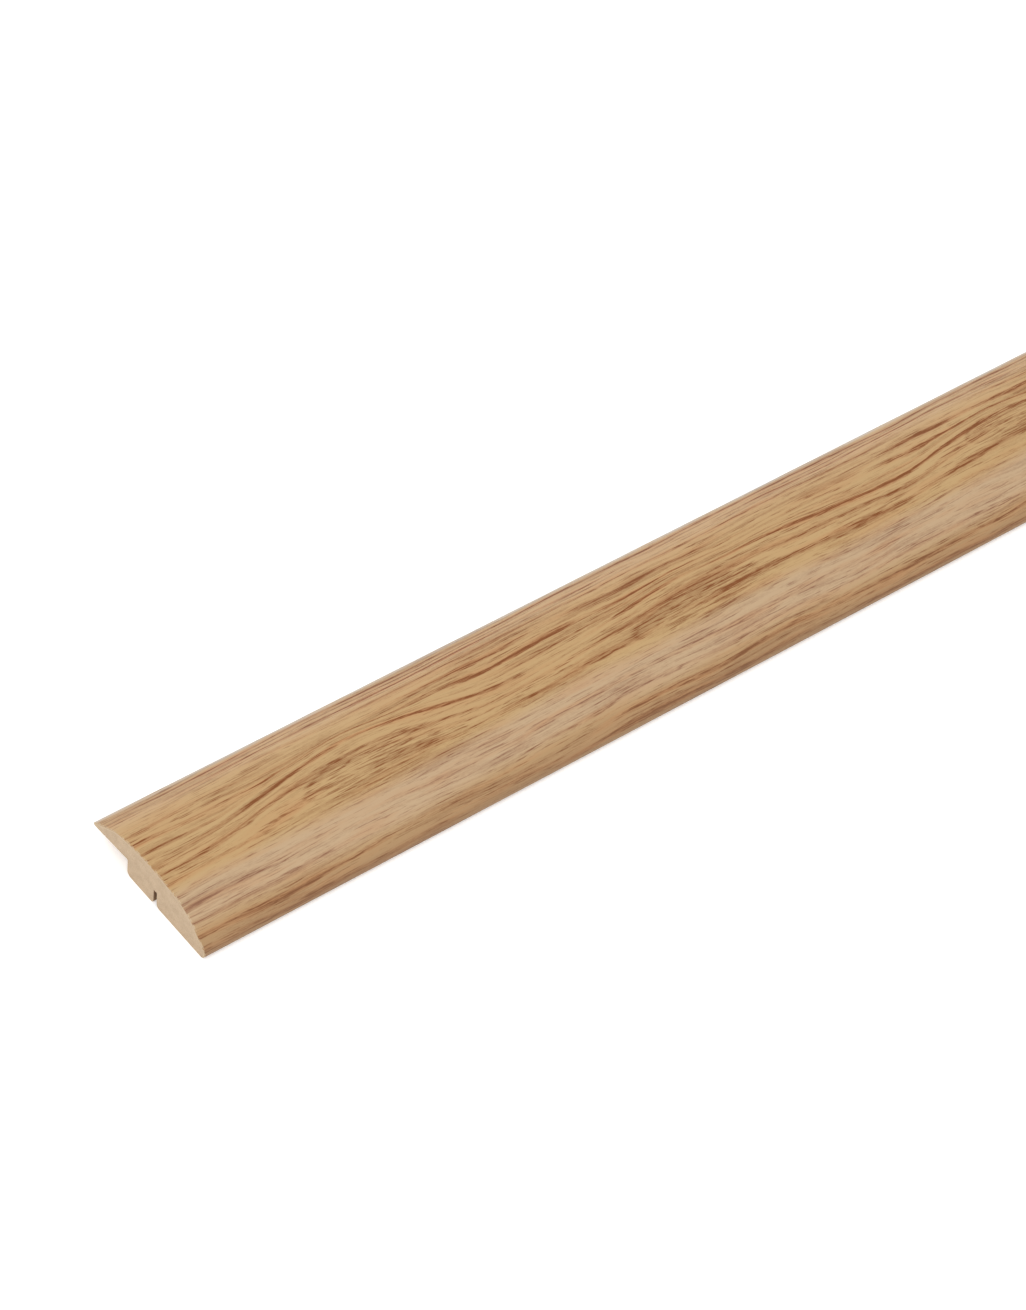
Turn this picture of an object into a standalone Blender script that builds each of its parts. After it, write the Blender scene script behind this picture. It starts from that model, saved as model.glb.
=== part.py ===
"""Ramp threshold strip for a laminate floor: a moulded fibreboard core wrapped in oak-effect foil.

The strip runs along X, its base lies on z = 0, the thin lip that covers the floor board points to +Y and
the rounded toe that ends on the lower floor points to -Y. Every piece has one section for its whole
length, so each is an outline in the Y-Z plane extruded along X. All sizes are in metres.
"""

import math

import bmesh
import bpy
from mathutils import Vector

# Outside of the wrapped strip
LENGTH = 0.900
WIDTH = 0.048
HEIGHT = 0.0123

# Upper outline: a shallow crown that turns over a shoulder on each side, runs straight down and ends in a nose
CROWN_RADIUS = 0.070
TOE_SLOPE = math.radians(46)
TOE_SHOULDER_RADIUS = 0.015
TOE_NOSE_RADIUS = 0.0019
LIP_SLOPE = math.radians(30)
LIP_SHOULDER_RADIUS = 0.011
LIP_NOSE_RADIUS = 0.0006
LIP_NOSE_HEIGHT = 0.0051  # of the nose's centre

# Skins on the core, from the outside in, with the clearance that keeps neighbouring solids apart
FOIL_THICKNESS = 0.00025
GLUE_THICKNESS = 0.0001
CLEARANCE = 0.0001
GLUE_OFFSET = FOIL_THICKNESS + CLEARANCE
CORE_OFFSET = GLUE_OFFSET + GLUE_THICKNESS + CLEARANCE

# Where the skins are trimmed: low on the toe's nose, and a few millimetres under the lip. Beyond that the
# core comes out to their face, so that they lie flush in it.
TOE_TRIM_ANGLE = math.radians(140)
LIP_WRAP = 0.004
TRIM_GAP = 0.0003

# Underside of the core
LIP_UNDERCUT = math.radians(4)  # the lip's underside rises towards its root, so that only its tip bears
LIP_REACH = 0.0148  # from the step wall to the lip's tip
LIP_ROOT_RADIUS = 0.0004
STEP_CORNER_RADIUS = 0.0015
KERF_WIDTH = 0.00135
KERF_DEPTH = 0.0052
KERF_FROM_TOE = 0.0212  # to the middle of the kerf
KERF_MOUTH_RADIUS = 0.0012
KERF_END_RADIUS = 0.0002

# Segments on each arc
CROWN_STEPS = 12
SHOULDER_STEPS = 10
NOSE_STEPS = 12
CORNER_STEPS = 6

SMOOTH_ANGLE = math.radians(30)

CROWN_CENTRE = Vector((0, HEIGHT - CROWN_RADIUS))
TOE_NOSE_CENTRE = Vector((TOE_NOSE_RADIUS - WIDTH / 2, TOE_NOSE_RADIUS))
LIP_NOSE_CENTRE = Vector((WIDTH / 2 - LIP_NOSE_RADIUS, LIP_NOSE_HEIGHT))
LIP_NOSE_END = math.pi + LIP_UNDERCUT
UNDER_LIP = Vector((-math.cos(LIP_UNDERCUT), math.sin(LIP_UNDERCUT)))  # from the tip towards the root
OUT_OF_LIP = Vector((-math.sin(LIP_UNDERCUT), -math.cos(LIP_UNDERCUT)))  # the underside's outward normal

# ---------------------------------------------------------------------------
# Outlines: lists of (y, z) points
# ---------------------------------------------------------------------------


def arc(centre, radius, start, end, side, steps):
    """Points on an arc. Angles run from straight up over to one side: +1 for the lip's, -1 for the toe's."""
    points = []
    for i in range(steps + 1):
        angle = start + (end - start) * i / steps
        points.append(centre + radius * Vector((side * math.sin(angle), math.cos(angle))))
    return points


def shoulder_centre(side, slope, shoulder_radius, nose_centre, nose_radius):
    """Centre of the arc that touches both the crown and the straight slope tangent to the nose."""
    normal = Vector((side * math.sin(slope), math.cos(slope)))
    along = Vector((side * math.cos(slope), -math.sin(slope)))
    across = nose_centre.dot(normal) + nose_radius - shoulder_radius
    from_crown = across - CROWN_CENTRE.dot(normal)
    reach = math.sqrt((CROWN_RADIUS - shoulder_radius) ** 2 - from_crown**2)
    return across * normal + (CROWN_CENTRE.dot(along) - reach) * along


def half_outline(side, slope, shoulder_radius, nose_centre, nose_radius, end, offset):
    """From the crown's top down one side to the angle where the nose ends, offset inwards."""
    centre = shoulder_centre(side, slope, shoulder_radius, nose_centre, nose_radius)
    turn = math.atan2(side * (centre - CROWN_CENTRE).x, (centre - CROWN_CENTRE).y)
    points = arc(CROWN_CENTRE, CROWN_RADIUS - offset, 0, turn, side, CROWN_STEPS)
    points += arc(centre, shoulder_radius - offset, turn, slope, side, SHOULDER_STEPS)[1:]
    points += arc(nose_centre, nose_radius - offset, slope, end, side, NOSE_STEPS)
    return points


def lip_half(offset):
    return half_outline(
        1, LIP_SLOPE, LIP_SHOULDER_RADIUS, LIP_NOSE_CENTRE, LIP_NOSE_RADIUS, LIP_NOSE_END, offset
    )


def toe_half(offset, end):
    return half_outline(
        -1, TOE_SLOPE, TOE_SHOULDER_RADIUS, TOE_NOSE_CENTRE, TOE_NOSE_RADIUS, end, offset
    )


def rounded(corners):
    """An open outline through (y, z, radius) corners, each corner replaced by an arc of its radius."""
    places = [Vector(corner[:2]) for corner in corners]
    points = [places[0]]
    for before, here, after, corner in zip(places, places[1:], places[2:], corners[1:]):
        back = (before - here).normalized()
        ahead = (after - here).normalized()
        half_angle = back.angle(ahead) / 2
        radius = corner[2]
        centre = here + (back + ahead).normalized() * radius / math.sin(half_angle)
        reach = radius / math.tan(half_angle)
        first = (here + reach * back - centre).normalized()
        last = (here + reach * ahead - centre).normalized()
        for i in range(CORNER_STEPS + 1):
            points.append(centre + radius * first.slerp(last, i / CORNER_STEPS))
    points.append(places[-1])
    return points


def skin_outline(outer, inner):
    """Closed outline of a skin between two offsets, wrapped from under the lip over to the toe's nose."""

    def side(offset):
        lip = lip_half(offset)
        return [lip[-1] + LIP_WRAP * UNDER_LIP] + lip[::-1] + toe_half(offset, TOE_TRIM_ANGLE)[1:]

    return side(outer) + side(inner)[::-1]


def core_outline():
    """Closed outline of the core: its top under the skins, its heel, base, kerf, step and lip."""
    heel_angle = TOE_TRIM_ANGLE + TRIM_GAP / TOE_NOSE_RADIUS
    lip = lip_half(CORE_OFFSET)
    top = lip[::-1] + toe_half(CORE_OFFSET, heel_angle)[1:]
    heel = arc(TOE_NOSE_CENTRE, TOE_NOSE_RADIUS, heel_angle, math.pi, -1, CORNER_STEPS)

    relief_end = lip[-1] + (LIP_WRAP + TRIM_GAP) * UNDER_LIP
    flush = relief_end + CORE_OFFSET * OUT_OF_LIP
    step = WIDTH / 2 - LIP_REACH
    lip_root = flush.y + (flush.x - step) * math.tan(LIP_UNDERCUT)
    kerf_toe_side = KERF_FROM_TOE - (WIDTH + KERF_WIDTH) / 2
    kerf_lip_side = kerf_toe_side + KERF_WIDTH
    under = rounded(
        [
            (heel[-1].x, 0, 0),
            (kerf_toe_side, 0, KERF_MOUTH_RADIUS),
            (kerf_toe_side, KERF_DEPTH, KERF_END_RADIUS),
            (kerf_lip_side, KERF_DEPTH, KERF_END_RADIUS),
            (kerf_lip_side, 0, KERF_MOUTH_RADIUS),
            (step, 0, STEP_CORNER_RADIUS),
            (step, lip_root, LIP_ROOT_RADIUS),
            (flush.x, flush.y, 0),
        ]
    )
    return top + heel + under[1:] + [relief_end]


# ---------------------------------------------------------------------------
# Solids
# ---------------------------------------------------------------------------


def material(name, colour, roughness):
    made = bpy.data.materials.new(name)
    made.use_nodes = True
    shader = made.node_tree.nodes["Principled BSDF"]
    shader.inputs["Base Color"].default_value = (*colour, 1)
    shader.inputs["Roughness"].default_value = roughness
    shader.inputs["Metallic"].default_value = 0
    return made


def extrusion(name, outline, finish):
    """A closed solid with the given section, run along the whole length of the strip."""
    shape = bmesh.new()
    section = shape.faces.new([shape.verts.new((-LENGTH / 2, y, z)) for y, z in outline])
    grown = bmesh.ops.extrude_face_region(shape, geom=[section])["geom"]
    moved = [item for item in grown if isinstance(item, bmesh.types.BMVert)]
    bmesh.ops.translate(shape, verts=moved, vec=(LENGTH, 0, 0))
    bmesh.ops.recalc_face_normals(shape, faces=shape.faces)
    mesh = bpy.data.meshes.new(name)
    shape.to_mesh(mesh)
    shape.free()
    mesh.materials.append(finish)
    mesh.shade_smooth()
    mesh.set_sharp_from_angle(angle=SMOOTH_ANGLE)
    piece = bpy.data.objects.new(name, mesh)
    bpy.context.scene.collection.objects.link(piece)
    return piece


def build():
    for old in list(bpy.data.objects):
        bpy.data.objects.remove(old)
    extrusion("mdf_core", core_outline(), material("bare_mdf", (0.55, 0.44, 0.32), 0.85))
    extrusion(
        "glue_film",
        skin_outline(GLUE_OFFSET, GLUE_OFFSET + GLUE_THICKNESS),
        material("hot_melt_glue", (0.72, 0.64, 0.48), 0.45),
    )
    extrusion("oak_foil", skin_outline(0, FOIL_THICKNESS), material("oak_print", (0.50, 0.31, 0.15), 0.4))


build()
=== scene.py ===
"""The looks of the ramp threshold strip: oak-effect foil on a fibreboard core, on a pale studio floor.

The strip lies along X, its lip points to +Y and its toe to -Y. The foil and the glue film are rebuilt as
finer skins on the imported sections, so that they meet without the solids' clearances and the foil carries
its print in unrolled coordinates: along the strip from the near end, and across it from the lip's tip.
"""

import math

import bmesh
import bpy
from mathutils import Matrix, Vector


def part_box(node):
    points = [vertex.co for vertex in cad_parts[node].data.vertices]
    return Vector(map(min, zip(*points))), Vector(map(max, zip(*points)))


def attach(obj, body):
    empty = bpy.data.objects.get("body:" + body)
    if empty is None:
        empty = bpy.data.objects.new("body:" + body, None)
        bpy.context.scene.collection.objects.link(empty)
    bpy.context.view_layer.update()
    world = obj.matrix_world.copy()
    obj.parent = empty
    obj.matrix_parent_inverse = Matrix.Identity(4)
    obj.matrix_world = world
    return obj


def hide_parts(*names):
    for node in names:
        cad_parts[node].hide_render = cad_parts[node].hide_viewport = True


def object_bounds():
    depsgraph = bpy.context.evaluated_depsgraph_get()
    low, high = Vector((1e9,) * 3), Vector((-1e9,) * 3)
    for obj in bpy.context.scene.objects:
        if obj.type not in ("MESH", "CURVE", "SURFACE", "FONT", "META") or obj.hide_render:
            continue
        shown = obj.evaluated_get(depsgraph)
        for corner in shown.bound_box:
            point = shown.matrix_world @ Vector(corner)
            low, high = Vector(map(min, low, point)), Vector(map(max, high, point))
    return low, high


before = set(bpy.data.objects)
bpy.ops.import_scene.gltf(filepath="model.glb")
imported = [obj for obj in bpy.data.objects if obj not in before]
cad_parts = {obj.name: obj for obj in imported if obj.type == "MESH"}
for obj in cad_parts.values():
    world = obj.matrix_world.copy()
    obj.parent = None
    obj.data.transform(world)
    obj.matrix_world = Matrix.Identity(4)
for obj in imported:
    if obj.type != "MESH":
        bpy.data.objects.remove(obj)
cad_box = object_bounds()

MILLI = 0.001
NEAR_END = cad_box[0].x
LENGTH = cad_box[1].x - cad_box[0].x

# Meshes
STATION_LENGTH = 0.005  # between cross-sections along the strip
CORNER_ANGLE = math.radians(60)  # a skin's section turns by more than this only at its four corners
SMOOTH_ANGLE = math.radians(35)
STEPS = 1e7  # per metre: points of a section that round to the same step are one
END_DEPTH = 1e-6  # a face this near to the end belongs to the end face
PRINT_MAP = "unrolled"
PRINTED, PLAIN = 0, 1  # a skin's material slots: its outer face, and its edges and back

# Materials
SPECULAR = 0.18  # low, since every surface here is satin or matt
FINE_RELIEF = 0.00002  # metres deep, on the print and on the cut edges
BOARD_RELIEF = 0.00008
# A Mix node has sockets of the same names for numbers, vectors and colours: these are the colours'
MIX_LOW, MIX_HIGH, MIX_RESULT = 6, 7, 2

# Camera, from the photographed view of the near end
AIM_FROM_NEAR_END = 0.1195
AIM_HEIGHT = 0.010
AIM_ACROSS = 0.0082
CAMERA_DISTANCE = 1.132
CAMERA_AZIMUTH = math.radians(-43.0)
CAMERA_ELEVATION = math.radians(46.7)
CAMERA_ROLL = math.radians(7.11)
LENS_MM = 120.3
SENSOR_MM = 36.0

# Studio: large softboxes aimed at the middle of the strip (name, place, side in metres, watts)
SOFTBOXES = (
    ("key", (-1.6, -0.9, 2.2), 2.4, 32.0),
    ("back", (0.8, 1.8, 1.8), 2.4, 11.0),
)
WHITE = (1.0, 1.0, 1.0, 1.0)
ROOM_LIGHT = 0.75
FLOOR_HALF = 6.0
FLOOR_WHITE = (0.94, 0.94, 0.94, 1.0)
FLOOR_ROUGHNESS = 0.9
FLOOR_GLOW = 0.28  # brings the floor up to white, so that the contact shadow stays faint


# ---------------------------------------------------------------------------
# Fields: numbers that vary over a surface, written as formulas
# ---------------------------------------------------------------------------


class Field:
    """One value output of a node. Arithmetic on fields adds Math nodes."""

    def __init__(self, tree, socket):
        self.tree = tree
        self.socket = socket

    def math(self, operation, *others):
        node = self.tree.nodes.new("ShaderNodeMath")
        node.operation = operation
        for place, value in zip(node.inputs, (self, *others)):
            feed(self.tree, place, value)
        return Field(self.tree, node.outputs[0])

    def __add__(self, other):
        return self.math("ADD", other)

    def __sub__(self, other):
        return self.math("SUBTRACT", other)

    def __mul__(self, other):
        return self.math("MULTIPLY", other)

    def __truediv__(self, other):
        return self.math("DIVIDE", other)

    def __rsub__(self, other):
        return self.math("MULTIPLY", -1.0).math("ADD", other)

    def fall(self, centre, reach):
        """1 at the centre, falling away on both sides as a bell curve."""
        offset = (self - centre) / reach
        return (offset * offset * -1.0).math("EXPONENT")

    def rise(self, low, high):
        """0 below low, 1 above high, smooth between. Falls instead where low is above high."""
        node = self.tree.nodes.new("ShaderNodeMapRange")
        node.interpolation_type = "SMOOTHSTEP"
        for name, value in (("Value", self), ("From Min", low), ("From Max", high)):
            feed(self.tree, node.inputs[name], value)
        return Field(self.tree, node.outputs[0])


def feed(tree, place, value):
    """Sets an input to a number or colour, or links it to a field or socket."""
    if isinstance(value, Field):
        tree.links.new(value.socket, place)
    elif isinstance(value, bpy.types.NodeSocket):
        tree.links.new(value, place)
    else:
        place.default_value = value


def display(red, green, blue):
    """A colour given as 0 to 255 display values, as the linear colour that shaders take."""
    linear = []
    for part in (red, green, blue):
        share = part / 255
        linear.append(share / 12.92 if share <= 0.04045 else ((share + 0.055) / 1.055) ** 2.4)
    return (*linear, 1.0)


class Paint:
    """One material and the nodes that feed its Principled shader."""

    def __init__(self, name):
        self.material = bpy.data.materials.new(name)
        self.material.use_nodes = True
        self.tree = self.material.node_tree
        self.shader = self.tree.nodes["Principled BSDF"]
        self.shader.inputs["Specular IOR Level"].default_value = SPECULAR

    def split(self, vector):
        node = self.tree.nodes.new("ShaderNodeSeparateXYZ")
        self.tree.links.new(vector, node.inputs[0])
        return [Field(self.tree, output) for output in node.outputs]

    def unrolled(self):
        """Millimetres along the foil from the near end, and across it from the lip's tip to the toe."""
        node = self.tree.nodes.new("ShaderNodeUVMap")
        node.uv_map = PRINT_MAP
        along, across, _ = self.split(node.outputs["UV"])
        return along / MILLI, across / MILLI

    def position(self):
        """Millimetres along X, Y and Z."""
        node = self.tree.nodes.new("ShaderNodeTexCoord")
        return [axis / MILLI for axis in self.split(node.outputs["Object"])]

    def facing(self):
        """The surface's normal along X, Y and Z."""
        node = self.tree.nodes.new("ShaderNodeNewGeometry")
        return self.split(node.outputs["Normal"])

    def place(self, x, y=0.0, z=0.0):
        node = self.tree.nodes.new("ShaderNodeCombineXYZ")
        for socket, value in zip(node.inputs, (x, y, z)):
            feed(self.tree, socket, value)
        return node.outputs[0]

    def noise(self, x, y=0.0, z=0.0, detail=2.0, roughness=0.5):
        """Smooth noise from 0 to 1 with a feature about every unit of x, y and z."""
        node = self.tree.nodes.new("ShaderNodeTexNoise")
        self.tree.links.new(self.place(x, y, z), node.inputs["Vector"])
        node.inputs["Scale"].default_value = 1.0
        node.inputs["Detail"].default_value = detail
        node.inputs["Roughness"].default_value = roughness
        return Field(self.tree, node.outputs[0])

    def blend(self, share, low, high):
        """A colour between two others."""
        node = self.tree.nodes.new("ShaderNodeMix")
        node.data_type = "RGBA"
        feed(self.tree, node.inputs["Factor"], share)
        feed(self.tree, node.inputs[MIX_LOW], low)
        feed(self.tree, node.inputs[MIX_HIGH], high)
        return node.outputs[MIX_RESULT]

    def bump(self, height, depth):
        """Relief from a field of 0 to 1, depth metres deep."""
        node = self.tree.nodes.new("ShaderNodeBump")
        node.inputs["Strength"].default_value = 1.0
        node.inputs["Distance"].default_value = depth
        feed(self.tree, node.inputs["Height"], height)
        self.tree.links.new(node.outputs[0], self.shader.inputs["Normal"])

    def finish(self, colour, roughness):
        feed(self.tree, self.shader.inputs["Base Color"], colour)
        feed(self.tree, self.shader.inputs["Roughness"], roughness)
        return self.material


# ---------------------------------------------------------------------------
# The oak print
# ---------------------------------------------------------------------------

# All in millimetres along the foil from the near end, and across it from the lip's tip
RING_SPACING = 3.75
HEART_RING = 7 * RING_SPACING  # the strong ring under which the others arch
PALE_BAND_STARTS = (33.5, 38.5)
PALE_BAND_ENDS = (50.0, 44.0)
TOE_BAND_STARTS = (44.0, 50.5)
GOLDEN_STARTS = (9, 18)
# Where the painted shade on the toe's downturned edge begins
TOE_SHADE_STARTS = (50.5, 53.5)
ARCHES = (  # where the rings arch towards the lip: place along, half-length, lift
    (60, 31, 7.7),
    (182, 44, 5.2),
    (286, 30, 6.5),
    (392, 34, 5.5),
    (503, 30, 7.2),
    (618, 40, 5.0),
    (731, 31, 6.8),
    (846, 36, 6.0),
)
EYES = (  # crowded ticks under the arches: place along and across, half-length, half-width
    (66, 29.5, 21, 6.5),
    (174, 31.5, 26, 5.0),
    (287, 24.5, 15, 5.0),
    (398, 30.5, 22, 5.5),
    (508, 29.0, 20, 6.5),
    (625, 31.0, 24, 5.0),
    (735, 29.0, 19, 6.0),
    (850, 30.0, 22, 5.5),
)
# Darkness of the rings' lines by number across the foil, and of the lines midway between them
RING_STRENGTHS = (0.4, 0.8, 1.0, 0.5, 0.8, 1.0, 0.3, 1.0, 0.35, 0.4, 0.2, 0.3, 0.25, 0.5, 0.6, 0.55)
MIDWAY_STRENGTHS = (0.5, 0.8, 0.5, 0.4, 0.5, 0.35, 0.4, 0.35, 0.2, 0.1, 0.1, 0.1, 0.2, 0.3, 0.4, 0.4)

# Colours of the ground between the lines, and of the lines' ink, by place across the foil
LIP_GROUND = display(195, 162, 118)
CROWN_GROUND = display(190, 157, 110)
PALE_GROUND = display(191, 163, 129)
TOE_GROUND = display(171, 138, 100)
ROSY_GROUND = display(184, 123, 78)
CROWN_INK = display(128, 74, 34)
LIP_INK = display(125, 74, 37)
PALE_INK = display(138, 98, 74)
TOE_INK = display(126, 84, 54)
# Colours painted at the edges: a highlight along the lip's edge, shade along the toe's edge, and the pale
# chips the saw left at the ends
LIP_HIGHLIGHT = display(198, 191, 181)
TOE_SHADE = display(126, 98, 74)
CHIPPED = display(204, 184, 154)


def step_ramp(paint, values, number):
    """The value in a list that a field of whole numbers points at."""
    ramp = paint.tree.nodes.new("ShaderNodeValToRGB")
    ramp.color_ramp.interpolation = "CONSTANT"
    stops = ramp.color_ramp.elements
    while len(stops) < len(values):
        stops.new(0.5)
    for stop, (place, value) in zip(stops, enumerate(values)):
        stop.position = place / len(values)
        stop.color = (value, value, value, 1)
    feed(paint.tree, ramp.inputs[0], (number + 0.5) / len(values))
    return Field(paint.tree, ramp.outputs[0])


def ring_lines(paint, along, level, thickness, strengths, seed):
    """A line on each ring, patchy along its length, and the wider haze around it."""
    ring = (level / RING_SPACING + 0.5).math("FLOOR")
    off_ring = level - ring * RING_SPACING
    patchy = paint.noise(along / 50, ring * 7.3, seed, detail=2.5).rise(0.34, 0.56) * 0.85 + 0.15
    strength = step_ramp(paint, strengths, ring) * patchy
    off_line = off_ring / thickness
    line = off_line.rise(-1.0, -0.15) * off_line.rise(0.75, 0.15) * strength
    haze = off_ring.rise(-1.5, -0.1) * off_ring.rise(1.3, 0.1) * strength
    return line, haze


def growth_rings(paint, along, across):
    """Growth in millimetres, arching towards the lip, its ragged offset, and the rings' lines and haze."""
    lift = 0.0
    for centre, reach, height in ARCHES:
        lift = along.fall(centre, reach) * height + lift
    strayed = across + (paint.noise(along / 40, across / 13, detail=1) - 0.5) * 4.2
    # Rings on the heart ring's toe side arch, ever less towards the toe; those on its lip side hardly do
    beyond = strayed + lift - HEART_RING
    growth = strayed + lift * (beyond.rise(-4.0, 0.0) * 0.92 + 0.08) * beyond.rise(22.0, 0.0)
    inland = across.rise(6.0, 18.0)
    ragged = (paint.noise(along / 10, growth / 0.7, 2.2, detail=3, roughness=0.6) - 0.5) * 1.7
    ragged = ragged * (inland * 0.5 + 0.5)
    thickness = inland * 0.4 + 0.6
    line, haze = ring_lines(paint, along, growth + ragged, thickness, RING_STRENGTHS, 0.7)
    midway = growth + ragged - RING_SPACING / 2
    fine_line, fine_haze = ring_lines(paint, along, midway, thickness * 0.8, MIDWAY_STRENGTHS, 3.1)
    faint_crests = 1.0 - lift.rise(5.0, 7.5) * 0.45
    return growth, ragged, (line + fine_line * 0.8) * faint_crests, (haze + fine_haze * 0.35) * faint_crests


def grain_eyes(along, across, ragged):
    """The ovals under the arches: their area, the haze and thin lines round them, and their knots."""
    area = 0.0
    outline = 0.0
    whorl = 0.0
    knot = 0.0
    for x, y, half_length, half_width in EYES:
        ahead = (along - x) / half_length
        beside = (across + ragged * 0.6 - y) / half_width
        reach = ahead * ahead + beside * beside
        area = reach.rise(1.2, 0.2) + area
        outline = reach.rise(0.45, 0.8) * reach.rise(1.15, 0.85) + outline
        lip_side = (ahead * 0.6 + beside).rise(0.3, -0.9)
        whorl = (reach.fall(0.95, 0.12) + reach.fall(0.45, 0.08) * 0.6) * lip_side + whorl
        knot = reach.rise(0.022, 0.0) + knot
    return area, outline, whorl, knot


def bands(paint, along, across):
    """The pale band below the crown and the brown band at the toe, whose edges wander together."""
    edge = across + (paint.noise(along / 55, 1.3, detail=2) - 0.5) * 4.0
    pale_band = edge.rise(*PALE_BAND_STARTS) * edge.rise(*PALE_BAND_ENDS)
    toe_band = edge.rise(*TOE_BAND_STARTS)
    return pale_band, toe_band


def fibre_strokes(paint, along, across, growth, line, whorl, crowd):
    """Short dark strokes: ticks where they crowd together, the rings' lines in dashes, and stray pores."""
    lane = growth * 0.3 + across * 0.7
    tick = (paint.noise(along / 9, lane / 0.34, 4.4, detail=1.5) + crowd * 0.24).rise(0.59, 0.69)
    dash = paint.noise(along / 4.2, lane / 0.32, 7.7, detail=1.5).rise(0.38, 0.60)
    pore = paint.noise(along / 3, lane / 0.34, 12.5, detail=1).rise(0.58, 0.68)
    strokes = tick * (dash * 0.42 + 0.18) + line * (dash * 0.52 + 0.40) + pore * 0.14
    return strokes + whorl * (dash * 0.40 + 0.10)


def streaks(paint, along, across, growth):
    """Lighter and darker shades that run along the growth, from fine hairs to broad clouds."""
    hair = paint.noise(along / 15, growth / 0.36, 9.1, detail=2, roughness=0.6) - 0.5
    streak = paint.noise(along / 48, growth / 1.1, 8.1, detail=3, roughness=0.6) - 0.5
    cloud = paint.noise(along / 38, growth / 2.8, 15.3, detail=2) - 0.5
    grain = paint.noise(along / 0.9, across / 0.25, 6.6, detail=1) - 0.5
    return hair * 0.90 + streak * 0.80 + cloud * 1.3 + grain * 0.42


def ground_colour(paint, along, across, growth, haze, pale_band, toe_band):
    """Pinkish towards the lip, golden over the crown, then the two bands, and reddish round the lines."""
    shift = (paint.noise(along / 60, across / 10, 1.3, detail=2) - 0.5) * 6.0
    ground = paint.blend((across + shift).rise(*GOLDEN_STARTS), LIP_GROUND, CROWN_GROUND)
    ground = paint.blend(pale_band, ground, PALE_GROUND)
    ground = paint.blend(toe_band, ground, TOE_GROUND)
    rosy = paint.noise(along / 24, growth / 1.9, 5.9, detail=3).rise(0.46, 0.68)
    return paint.blend(rosy * 0.18 + haze * 0.68, ground, ROSY_GROUND)


def ink_colour(paint, across, pale_band, toe_band):
    ink = paint.blend(across.rise(18, 10), CROWN_INK, LIP_INK)
    ink = paint.blend(pale_band, ink, PALE_INK)
    return paint.blend(toe_band, ink, TOE_INK)


def edge_light_and_chips(paint, along, across, colour):
    """Painted light at the edges: a pale highlight along the lip's rounded edge and shade along the toe's
    downturned edge. The saw has chipped the ends.
    """
    # Painted highlight: the lip's rounded edge is made pale as if it caught the white room light, mottled
    # along the strip
    highlight_share = paint.noise(along / 12, across / 0.8, 3.3, detail=3).rise(0.30, 0.62) * 0.50 + 0.35
    colour = paint.blend(across.fall(0.7, 1.1) * highlight_share, colour, LIP_HIGHLIGHT)
    # Painted shade: the toe's edge, which turns down towards the floor, is darkened
    colour = paint.blend(across.rise(*TOE_SHADE_STARTS) * 0.5, colour, TOE_SHADE)
    from_end = along.math("MINIMUM", LENGTH / MILLI - along)
    chip = paint.noise(across / 0.7, from_end / 0.4, 2.7, detail=2).rise(0.46, 0.60)
    chip = chip * from_end.rise(0.5, 0.15)
    return paint.blend(chip * 0.7, colour, CHIPPED)


def oak_print():
    """Oak grain: dark ring lines broken into short fibres, ticks crowded under the arches, fine streaks."""
    paint = Paint("oak_decor")
    along, across = paint.unrolled()
    growth, ragged, line, haze = growth_rings(paint, along, across)
    area, outline, whorl, knot = grain_eyes(along, across, ragged)
    pale_band, toe_band = bands(paint, along, across)

    # Darkness, from 0 for the ground to 1 for the ink
    heartwood = across.fall(31.0, 4.5) * paint.noise(along / 34, across / 9, 3.7, detail=1).rise(0.40, 0.62)
    crowd = haze * 0.5 + line * 0.4 + area * 0.65 + heartwood * 0.22 + pale_band * 0.14 + toe_band * 0.12
    strokes = fibre_strokes(paint, along, across, growth, line, whorl, crowd)
    shades = crowd * 0.14 + haze * 0.06 + outline * 0.10 + knot * 0.12
    shades = shades + streaks(paint, along, across, growth)
    dark = (strokes + shades).math("MAXIMUM", 0.0).math("MINIMUM", 1.0)

    ground = ground_colour(paint, along, across, growth, haze, pale_band, toe_band)
    ink = ink_colour(paint, across, pale_band, toe_band)
    colour = edge_light_and_chips(paint, along, across, paint.blend(dark, ground, ink))
    paint.bump(1.0 - dark, FINE_RELIEF)
    return paint.finish(colour, dark * 0.10 + 0.45)


# ---------------------------------------------------------------------------
# Plain materials
# ---------------------------------------------------------------------------

# The saw kerf in the underside, painted darker brown: partly scorched board, partly painted shade in the
# deep slot. In millimetres: its middle along Y, and where the darkening fades out
KERF_MIDDLE = -2.8
KERF_SIDES = (1.0, 0.75)  # from the middle
KERF_ROOF = (5.6, 4.8)  # from the base


def cut_paper():
    """The foil's edges and back: the pale paper under the print."""
    paint = Paint("cut_paper")
    x, y, z = paint.position()
    mottle = paint.noise(x / 0.3, y / 0.3, z / 0.3, detail=3)
    colour = paint.blend(mottle, display(174, 149, 116), display(192, 167, 135))
    paint.bump(mottle, FINE_RELIEF)
    return paint.finish(colour, mottle * 0.2 + 0.6)


def cream_glue():
    """The edge of the hot-melt film, smoother than the paper and the board."""
    paint = Paint("cream_glue")
    x, y, z = paint.position()
    mottle = paint.noise(x / 0.6, y / 0.6, z / 0.6, detail=2)
    colour = paint.blend(mottle, display(186, 163, 130), display(198, 177, 146))
    paint.bump(mottle, FINE_RELIEF)
    return paint.finish(colour, mottle * 0.2 + 0.32)


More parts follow.
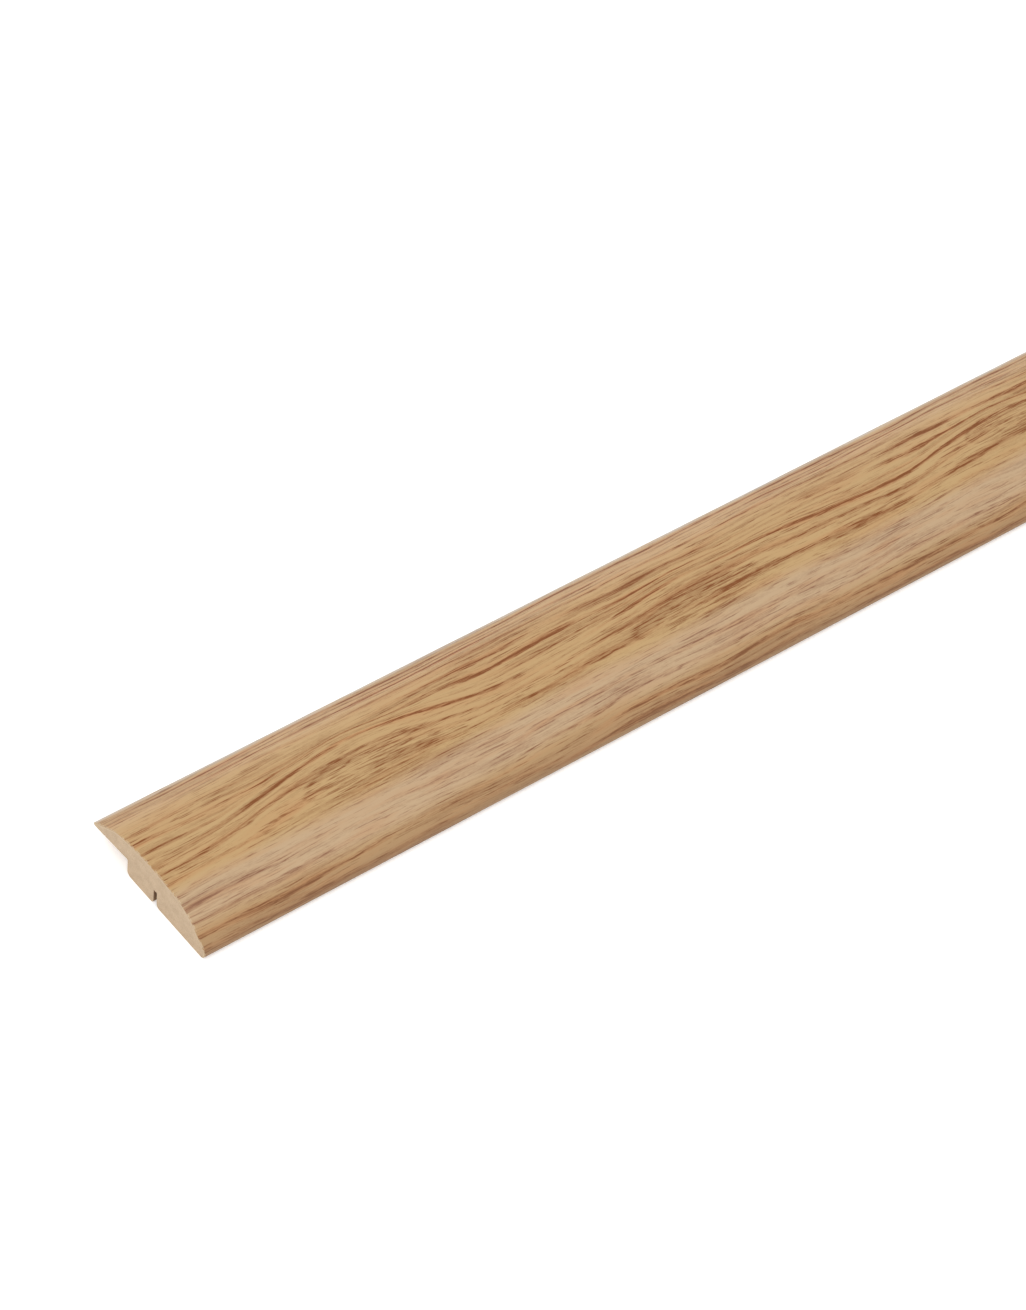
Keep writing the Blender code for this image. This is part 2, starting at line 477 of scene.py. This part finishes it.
def fibreboard():
    """Sawn ends are rough and mottled; the moulded faces have fine cutter lines along them."""
    paint = Paint("fibreboard")
    x, y, z = paint.position()
    facing_along = paint.facing()[0].math("ABSOLUTE")
    sawn = facing_along.rise(0.5, 0.9)
    cloud = paint.noise(x / 5, y / 3.5, z / 2.5, detail=3)
    fibres = paint.noise(x / 1.2, y / 0.5, z / 0.16, detail=4, roughness=0.7)
    flock = paint.noise(x / 0.35, y / 0.35, z / 0.35, detail=3, roughness=0.65)
    cutter = paint.noise(x / 40, y / 0.12, z / 0.12, detail=2)
    texture = sawn * (fibres * 0.6 + flock * 0.4) + (1.0 - sawn) * (cutter * 0.6 + flock * 0.4)
    colour = paint.blend(cloud.rise(0.3, 0.7), display(178, 154, 127), display(190, 166, 138))
    colour = paint.blend(texture.rise(0.40, 0.66) * 0.5, colour, display(203, 183, 156))
    colour = paint.blend(texture.rise(0.50, 0.32) * 0.5, colour, display(158, 133, 104))
    specks = paint.noise(x / 0.55, y / 0.55, z / 0.3).rise(0.70, 0.80)
    colour = paint.blend(specks * 0.45, colour, display(128, 98, 70))
    # Painted shade in the kerf, mixed with the brown of scorched board: the slot's walls are darkened
    in_kerf = (y - KERF_MIDDLE).math("ABSOLUTE").rise(*KERF_SIDES) * z.rise(*KERF_ROOF) * (1.0 - sawn)
    colour = paint.blend(in_kerf * 0.75, colour, display(112, 76, 46))
    paint.bump(texture, BOARD_RELIEF)
    return paint.finish(colour, texture * 0.15 + 0.75)


# ---------------------------------------------------------------------------
# Sections and skins
# ---------------------------------------------------------------------------


def section_of(node):
    """The outline of the node's near end face, in order, as 2-D points that hold Y and Z in metres."""
    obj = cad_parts[node]
    mesh = obj.data
    places = [obj.matrix_world @ vertex.co for vertex in mesh.vertices]
    end = min(place.x for place in places)

    def key(index):
        return (round(places[index].y * STEPS), round(places[index].z * STEPS))

    uses = {}
    for face in mesh.polygons:
        if all(abs(places[v].x - end) < END_DEPTH for v in face.vertices):
            for a, b in zip(face.vertices, [*face.vertices[1:], face.vertices[0]]):
                edge = (key(a), key(b))
                uses[edge] = uses.get(edge, 0) + 1
    following = {a: b for a, b in uses if (b, a) not in uses}
    point = min(following)
    outline = []
    while point in following:
        outline.append(Vector((point[0] / STEPS, point[1] / STEPS)))
        point = following.pop(point)
    return outline


def outer_path(outline):
    """A skin's outer face, in order from its trimmed edge under the lip over the crown to the toe."""
    corners = []
    for i, here in enumerate(outline):
        before = here - outline[i - 1]
        after = outline[(i + 1) % len(outline)] - here
        if before.angle(after) > CORNER_ANGLE:
            corners.append(i)
    paths = []
    for first, last in zip(corners, [*corners[1:], corners[0] + len(outline)]):
        paths.append([outline[i % len(outline)] for i in range(first, last + 1)])
    longest = max(paths, key=path_length)
    return longest if longest[0].x > longest[-1].x else longest[::-1]


def path_length(path):
    return sum((b - a).length for a, b in zip(path, path[1:]))


def inset(path, depth):
    """The path moved inwards, square to itself."""
    moved = []
    for i, here in enumerate(path):
        ahead = path[min(i + 1, len(path) - 1)] - path[max(i - 1, 0)]
        side = Vector((-ahead.y, ahead.x)).normalized()
        moved.append(here + depth * side)
    return moved


def skin(name, outer, inner, finishes, node):
    """A closed skin between two paths with equally many points, run along the strip and mapped unrolled."""
    stations = round(LENGTH / STATION_LENGTH)
    across = [0.0]
    for a, b in zip(outer, outer[1:]):
        across.append(across[-1] + (b - a).length)
    tip = max(range(len(outer)), key=lambda i: outer[i].x)
    across = [place - across[tip] for place in across]
    loop = [*zip(outer, across), *reversed(list(zip(inner, across)))]
    shape = bmesh.new()
    print_map = shape.loops.layers.uv.new(PRINT_MAP)
    rows = []
    for station in range(stations + 1):
        x = NEAR_END + LENGTH * station / stations
        rows.append([shape.verts.new((x, point.x, point.y)) for point, _ in loop])

    def face(corners, material):
        made = shape.faces.new([rows[row][i] for row, i in corners])
        made.material_index = material
        made.smooth = True
        for corner, (row, i) in zip(made.loops, corners):
            corner[print_map].uv = (LENGTH * row / stations, loop[i][1])

    count = len(loop)
    half = len(outer)
    for row in range(stations):
        for i in range(count):
            j = (i + 1) % count
            face([(row, i), (row, j), (row + 1, j), (row + 1, i)], PRINTED if 0 < j < half else PLAIN)
    for row in (0, stations):
        for i in range(half - 1):
            face([(row, i), (row, i + 1), (row, count - 2 - i), (row, count - 1 - i)], PLAIN)
    bmesh.ops.recalc_face_normals(shape, faces=shape.faces)
    mesh = bpy.data.meshes.new(name)
    shape.to_mesh(mesh)
    shape.free()
    for finish in finishes:
        mesh.materials.append(finish)
    mesh.set_sharp_from_angle(angle=SMOOTH_ANGLE)
    piece = bpy.data.objects.new(name, mesh)
    bpy.context.scene.collection.objects.link(piece)
    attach(piece, "root")
    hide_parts(node)


def build_strip():
    """The foil and the glue film as skins, which meet each other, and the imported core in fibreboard."""
    foil_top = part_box("oak_foil")[1].z
    foil_depth = foil_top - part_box("glue_film")[1].z
    core_depth = foil_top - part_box("mdf_core")[1].z
    outer = outer_path(section_of("oak_foil"))
    middle = inset(outer, foil_depth)
    inner = inset(outer, core_depth)
    skin("wrapped_foil", outer, middle, [oak_print(), cut_paper()], "oak_foil")
    glue = cream_glue()
    skin("glue_line", middle, inner, [glue, glue], "glue_film")
    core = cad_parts["mdf_core"]
    core.material_slots[0].material = fibreboard()


# ---------------------------------------------------------------------------
# Studio
# ---------------------------------------------------------------------------


def build_lights():
    """Even white light from all round, and two softboxes."""
    scene = bpy.context.scene
    scene.view_settings.view_transform = "Standard"

    world = bpy.data.worlds.new("studio")
    world.use_nodes = True
    background = world.node_tree.nodes["Background"]
    background.inputs["Color"].default_value = WHITE
    background.inputs["Strength"].default_value = ROOM_LIGHT
    scene.world = world

    for name, place, size, power in SOFTBOXES:
        lamp = bpy.data.lights.new(name, "AREA")
        lamp.size = size
        lamp.energy = power
        softbox = bpy.data.objects.new(name, lamp)
        softbox.location = place
        softbox.rotation_euler = (-Vector(place)).to_track_quat("-Z", "Y").to_euler()
        scene.collection.objects.link(softbox)


def build_floor():
    mesh = bpy.data.meshes.new("floor")
    corners = [(x * FLOOR_HALF, y * FLOOR_HALF, 0) for x, y in ((-1, -1), (1, -1), (1, 1), (-1, 1))]
    mesh.from_pydata(corners, [], [(0, 1, 2, 3)])
    floor = bpy.data.objects.new("floor", mesh)
    bpy.context.scene.collection.objects.link(floor)
    paint = Paint("floor_white")
    paint.shader.inputs["Emission Color"].default_value = WHITE
    paint.shader.inputs["Emission Strength"].default_value = FLOOR_GLOW
    floor.data.materials.append(paint.finish(FLOOR_WHITE, FLOOR_ROUGHNESS))


def build_camera():
    """The photographed view: down on the near end from the toe's side, with the picture rolled a little."""
    camera = bpy.data.objects.new("camera", bpy.data.cameras.new("camera"))
    camera.data.sensor_width = SENSOR_MM
    camera.data.lens = LENS_MM
    aim = Vector((NEAR_END + AIM_FROM_NEAR_END, AIM_ACROSS, AIM_HEIGHT))
    level = math.cos(CAMERA_ELEVATION)
    back = Vector(
        (
            math.sin(CAMERA_AZIMUTH) * level,
            -math.cos(CAMERA_AZIMUTH) * level,
            math.sin(CAMERA_ELEVATION),
        )
    )
    turn = (-back).to_track_quat("-Z", "Y").to_matrix().to_4x4() @ Matrix.Rotation(CAMERA_ROLL, 4, "Z")
    camera.matrix_world = Matrix.Translation(aim + CAMERA_DISTANCE * back) @ turn
    bpy.context.scene.collection.objects.link(camera)
    bpy.context.scene.camera = camera


build_strip()
build_lights()
build_floor()
build_camera()
